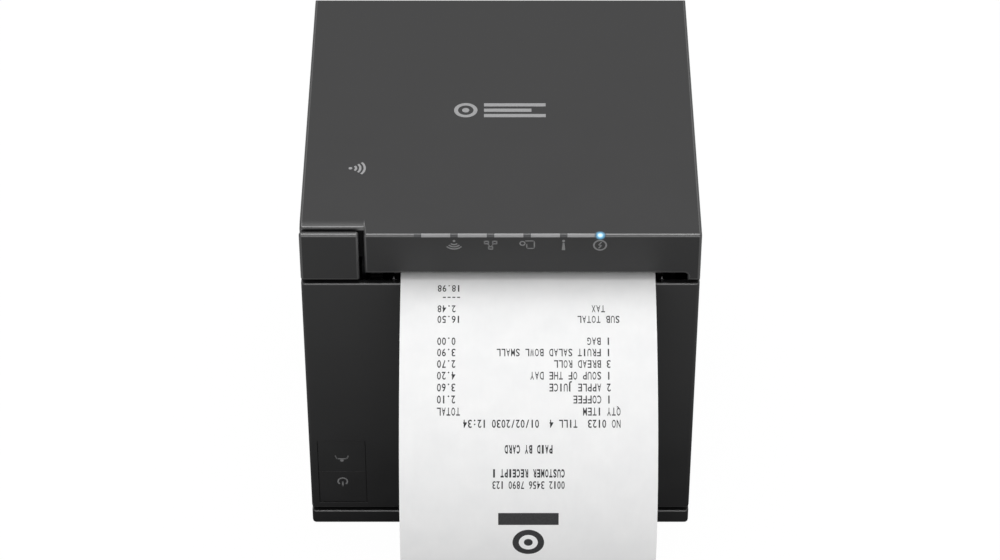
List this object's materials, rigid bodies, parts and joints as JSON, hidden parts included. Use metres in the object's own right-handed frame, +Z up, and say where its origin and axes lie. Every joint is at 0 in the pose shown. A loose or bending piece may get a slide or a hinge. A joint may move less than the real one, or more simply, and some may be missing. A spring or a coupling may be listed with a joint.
{
  "type": "receipt printer",
  "caption": "Cube-shaped counter-top thermal receipt printer with a flip-up roll cover, a front paper slot with a printed receipt, a corner lever, front keys and status lights.",
  "frame": {"origin": "centre of the base tray's flat underside; the rubber feet stand 1 mm below it", "axes": "+X to the right seen from the front, +Y to the rear (the receipt comes out towards -Y), +Z up"},
  "size_m": [0.127, 0.1866, 0.127],
  "materials": {
    "case_plastic": "finely textured charcoal moulding",
    "inner_plastic": "black moulding",
    "trim_plastic": "light grey bezel segments",
    "led_lens": "smoked lens, unlit",
    "led_lit": "clear lens, lit cool white",
    "rubber": "matt rubber",
    "steel": "plated steel",
    "black_steel": "black-coated sheet steel",
    "aluminium": "bare extrusion",
    "nylon": "natural nylon",
    "circuit_board": "green solder mask",
    "ceramic_head": "glazed ceramic",
    "paper": "smooth thermal paper",
    "core_card": "wound card"
  },
  "bodies": {
    "case": {"base_tray": "case_plastic", "lower_case": "case_plastic", "front_panel": "case_plastic", "roll_bucket": "inner_plastic", "lever_bracket": "inner_plastic", "paper_end_sensor": "inner_plastic", "network_socket": "inner_plastic", "drawer_kick_socket": "inner_plastic", "power_inlet": "inner_plastic", "foot_front_left": "rubber", "foot_front_right": "rubber", "foot_rear_left": "rubber", "foot_rear_right": "rubber", "hinge_pin_left": "steel", "hinge_pin_right": "steel", "head_pivot_rod": "steel", "head_spring_left": "steel", "head_spring_right": "steel", "cutter_motor": "steel", "lever_pin": "steel", "usb_socket": "steel", "connector_plate": "steel", "mech_chassis": "black_steel", "feed_motor": "black_steel", "button_board": "circuit_board", "main_board": "circuit_board", "receipt": "paper", "paper_web": "paper"},
    "cover": {"roll_cover": "case_plastic", "indicator_trim": "trim_plastic", "status_lens_1": "led_lens", "status_lens_2": "led_lens", "status_lens_3": "led_lens", "status_lens_4": "led_lens", "status_lens_5": "led_lit", "indicator_board": "circuit_board", "platen_holder": "inner_plastic", "cutter_fixed_blade": "steel", "antenna_board": "circuit_board", "platen_bearing_left": "inner_plastic", "platen_bearing_right": "inner_plastic"},
    "platen": {"platen_roller": "rubber", "platen_shaft": "steel", "platen_gear": "inner_plastic"},
    "idler": {"idler_gear": "inner_plastic"},
    "pinion": {"motor_pinion": "nylon"},
    "head": {"thermal_head": "ceramic_head", "head_heatsink": "aluminium"},
    "blade": {"cutter_blade": "steel"},
    "cutter_gear": {"cutter_pinion": "nylon"},
    "lever": {"cover_lever": "case_plastic"},
    "lock": {"lock_shaft": "steel", "lock_hook_left": "steel", "lock_hook_right": "steel"},
    "feed_key": {"feed_button": "case_plastic"},
    "power_key": {"power_button": "case_plastic"},
    "roll": {"paper_roll": "paper", "roll_core": "core_card"}
  },
  "joints": [
    {"name": "cover_hinge", "type": "hinge", "parent": "case", "child": "cover", "pos_m": [0, 0.0603, 0.107], "axis": [-1, 0, 0], "range_deg": [0, 90]},
    {"name": "platen_spin", "type": "hinge", "parent": "cover", "child": "platen", "pos_m": [0.008, -0.047, 0.11375], "axis": [1, 0, 0], "continuous": true},
    {"name": "idler_spin", "type": "hinge", "parent": "case", "child": "idler", "pos_m": [-0.0396, -0.05131, 0.10191], "axis": [1, 0, 0], "continuous": true},
    {"name": "pinion_spin", "type": "hinge", "parent": "case", "child": "pinion", "pos_m": [-0.0396, -0.047, 0.09267], "axis": [1, 0, 0], "continuous": true},
    {"name": "roll_spin", "type": "hinge", "parent": "case", "child": "roll", "pos_m": [0.0088, 0.0085, 0.0658], "axis": [1, 0, 0], "continuous": true},
    {"name": "head_rock", "type": "hinge", "parent": "case", "child": "head", "pos_m": [0.009, -0.0435, 0.1008], "axis": [1, 0, 0], "range_deg": [0, 2], "stiffness_Nm_per_rad": 0.5, "springref_deg": -5.73, "deforming": ["head_spring_left", "head_spring_right"]},
    {"name": "cutter_stroke", "type": "slide", "parent": "case", "child": "blade", "axis": [0, 0, 1], "range_m": [0, 0.007]},
    {"name": "cutter_gear_spin", "type": "hinge", "parent": "case", "child": "cutter_gear", "pos_m": [0.008, -0.056, 0.078], "axis": [0, -1, 0], "range_deg": [-1, 74]},
    {"name": "lever_pull", "type": "hinge", "parent": "case", "child": "lever", "pos_m": [-0.054, -0.0595, 0.1095], "axis": [1, 0, 0], "range_deg": [0, 15], "stiffness_Nm_per_rad": 0.02, "springref_deg": -11.46},
    {"name": "lock_turn", "type": "hinge", "parent": "case", "child": "lock", "pos_m": [0, -0.037, 0.1045], "axis": [1, 0, 0], "range_deg": [-15, 0]},
    {"name": "feed_press", "type": "slide", "parent": "case", "child": "feed_key", "axis": [0, 1, 0], "range_m": [0, 0.0006], "stiffness_N_per_m": 300, "springref_m": -0.0005},
    {"name": "power_press", "type": "slide", "parent": "case", "child": "power_key", "axis": [0, 1, 0], "range_m": [0, 0.0006], "stiffness_N_per_m": 300, "springref_m": -0.0005}
  ],
  "couplings": [
    {"joint": "platen_spin", "follows": "roll_spin", "ratio": -7.2},
    {"joint": "idler_spin", "follows": "roll_spin", "ratio": 6.5455},
    {"joint": "pinion_spin", "follows": "roll_spin", "ratio": -12},
    {"joint": "cutter_gear_spin", "follows": "cutter_stroke", "rad_per_m": 178.57},
    {"joint": "lock_turn", "follows": "lever_pull", "ratio": -1}
  ]
}
